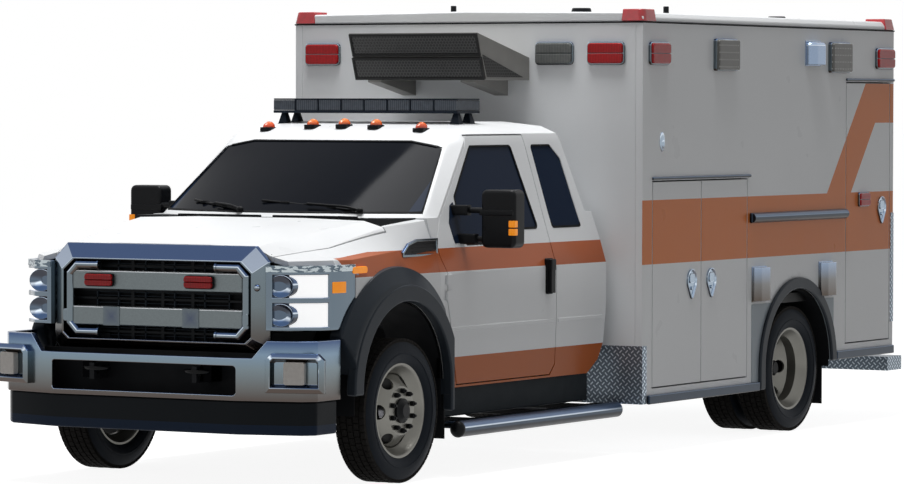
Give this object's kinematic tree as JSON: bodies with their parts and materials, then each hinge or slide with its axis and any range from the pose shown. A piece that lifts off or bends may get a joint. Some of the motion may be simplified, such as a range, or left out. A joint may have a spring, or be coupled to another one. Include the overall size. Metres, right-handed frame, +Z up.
{
  "type": "ambulance",
  "caption": "Box-bodied ambulance: truck cab with opening hood and doors, patient module with lockers and rear doors, steered front wheels and twin rear wheels.",
  "frame": {"origin": "on the ground under the middle of the overall length and width", "axes": "+X to the vehicle's left, +Y towards its rear, +Z up"},
  "size_m": [2.666, 7.49, 2.6999],
  "materials": {
    "frame": "black chassis paint",
    "steel": "bare machined steel",
    "engine": "dull cast iron",
    "exhaust": "heat-dulled steel",
    "white_paint": "gloss white paint",
    "body_paint": "gloss white paint with orange bands",
    "glass": "dark tinted glass",
    "trim_black": "black moulded plastic",
    "flare": "dark grey satin plastic",
    "chrome": "bright chrome",
    "lamp_clear": "clear lens over a bright reflector",
    "lamp_red": "red lens",
    "lamp_amber": "amber lens",
    "light_bar": "smoked blue-grey lens",
    "interior": "dark grey trim and cloth",
    "tread_plate": "raised diamond tread plate",
    "aluminium": "plain sheet",
    "unit": "grey paint",
    "rubber": "black rubber",
    "tyre": "black tread rubber",
    "wheel_steel": "silver-grey paint",
    "tank": "black moulded tank"
  },
  "bodies": {
    "chassis": {"frame_rails": "frame", "tow_hooks": "frame", "engine_block": "engine", "exhaust": "exhaust", "fuel_tank": "tank", "front_axle": "frame", "rear_axle": "frame", "cab_shell": "white_paint", "front_fenders": "white_paint", "wheel_flares": "flare", "cowl_panel": "trim_black", "cab_glass": "glass", "cab_interior": "interior", "grille_surround": "chrome", "grille_mesh": "trim_black", "headlamps": "lamp_clear", "front_bumper": "chrome", "front_valance": "trim_black", "running_boards": "trim_black", "light_bar": "light_bar", "amber_lamps": "lamp_amber", "red_lamps": "lamp_red", "clear_lamps": "lamp_clear", "module_side_walls": "body_paint", "module_end_walls": "body_paint", "module_roof": "white_paint", "module_floor": "aluminium", "module_interior": "aluminium", "rub_rails": "trim_black", "tread_plates": "tread_plate", "mud_flaps": "rubber", "air_conditioner": "unit"},
    "hood": {"hood": "white_paint"},
    "left_cab_door": {"left_cab_door": "white_paint", "left_door_glass": "glass", "left_mirror": "trim_black"},
    "right_cab_door": {"right_cab_door": "white_paint", "right_door_glass": "glass", "right_mirror": "trim_black"},
    "left_front_locker_door": {"left_front_locker_door": "body_paint"},
    "left_centre_locker_door": {"left_centre_locker_door": "body_paint"},
    "left_rear_locker_door": {"left_rear_locker_door": "body_paint"},
    "right_rear_locker_door": {"right_rear_locker_door": "body_paint"},
    "right_entry_door": {"right_entry_door": "body_paint"},
    "rear_left_door": {"rear_left_door": "body_paint"},
    "rear_right_door": {"rear_right_door": "body_paint"},
    "left_knuckle": {"left_knuckle": "steel"},
    "right_knuckle": {"right_knuckle": "steel"},
    "tie_rod": {"tie_rod": "steel"},
    "front_left_wheel": {"front_left_wheel": "wheel_steel", "front_left_tyre": "tyre"},
    "front_right_wheel": {"front_right_wheel": "wheel_steel", "front_right_tyre": "tyre"},
    "rear_left_wheel": {"rear_left_wheel": "wheel_steel", "rear_left_tyre": "tyre"},
    "rear_right_wheel": {"rear_right_wheel": "wheel_steel", "rear_right_tyre": "tyre"}
  },
  "joints": [
    {"name": "steer_left", "type": "hinge", "parent": "chassis", "child": "left_knuckle", "pos_m": [0.8, -2.695, 0.406], "axis": [0, 0, 1], "range_deg": [-35, 35]},
    {"name": "steer_right", "type": "hinge", "parent": "chassis", "child": "right_knuckle", "pos_m": [-0.8, -2.695, 0.406], "axis": [0, 0, 1], "range_deg": [-36, 36]},
    {"name": "tie_rod_swing", "type": "hinge", "parent": "left_knuckle", "child": "tie_rod", "pos_m": [0.8, -2.525, 0.371], "axis": [0, 0, 1], "range_deg": [-36, 36]},
    {"name": "spin_front_left", "type": "hinge", "parent": "left_knuckle", "child": "front_left_wheel", "pos_m": [0.945, -2.695, 0.406], "axis": [1, 0, 0], "continuous": true},
    {"name": "spin_front_right", "type": "hinge", "parent": "right_knuckle", "child": "front_right_wheel", "pos_m": [-0.945, -2.695, 0.406], "axis": [1, 0, 0], "continuous": true},
    {"name": "spin_rear_left", "type": "hinge", "parent": "chassis", "child": "rear_left_wheel", "pos_m": [0.955, 2.025, 0.406], "axis": [1, 0, 0], "continuous": true},
    {"name": "spin_rear_right", "type": "hinge", "parent": "chassis", "child": "rear_right_wheel", "pos_m": [-0.955, 2.025, 0.406], "axis": [1, 0, 0], "continuous": true},
    {"name": "hood_hinge", "type": "hinge", "parent": "chassis", "child": "hood", "pos_m": [0, -2.655, 1.425], "axis": [-1, 0, 0], "range_deg": [0, 50]},
    {"name": "left_cab_door_hinge", "type": "hinge", "parent": "chassis", "child": "left_cab_door", "pos_m": [1.0371, -2.18, 1.05], "axis": [0, 0, -1], "range_deg": [0, 65]},
    {"name": "right_cab_door_hinge", "type": "hinge", "parent": "chassis", "child": "right_cab_door", "pos_m": [-1.0371, -2.18, 1.05], "axis": [0, 0, 1], "range_deg": [0, 65]},
    {"name": "left_front_locker_hinge", "type": "hinge", "parent": "chassis", "child": "left_front_locker_door", "pos_m": [1.2511, -0.048, 1], "axis": [0, 0, -1], "range_deg": [0, 110]},
    {"name": "left_centre_locker_hinge", "type": "hinge", "parent": "chassis", "child": "left_centre_locker_door", "pos_m": [1.2511, 1.27, 1], "axis": [0, 0, 1], "range_deg": [0, 110]},
    {"name": "left_rear_locker_hinge", "type": "hinge", "parent": "chassis", "child": "left_rear_locker_door", "pos_m": [1.2511, 2.734, 1.4], "axis": [0, 0, -1], "range_deg": [0, 110]},
    {"name": "right_rear_locker_hinge", "type": "hinge", "parent": "chassis", "child": "right_rear_locker_door", "pos_m": [-1.2511, 2.734, 1.4], "axis": [0, 0, 1], "range_deg": [0, 110]},
    {"name": "right_entry_hinge", "type": "hinge", "parent": "chassis", "child": "right_entry_door", "pos_m": [-1.2511, 0.002, 1.3], "axis": [0, 0, 1], "range_deg": [0, 100]},
    {"name": "rear_left_door_hinge", "type": "hinge", "parent": "chassis", "child": "rear_left_door", "pos_m": [0.703, 3.5021, 1.4], "axis": [0, 0, -1], "range_deg": [0, 110]},
    {"name": "rear_right_door_hinge", "type": "hinge", "parent": "chassis", "child": "rear_right_door", "pos_m": [-0.703, 3.5021, 1.4], "axis": [0, 0, 1], "range_deg": [0, 110]}
  ],
  "couplings": [
    {"joint": "steer_right", "follows": "steer_left", "ratio": 1},
    {"joint": "tie_rod_swing", "follows": "steer_left", "ratio": -1}
  ]
}
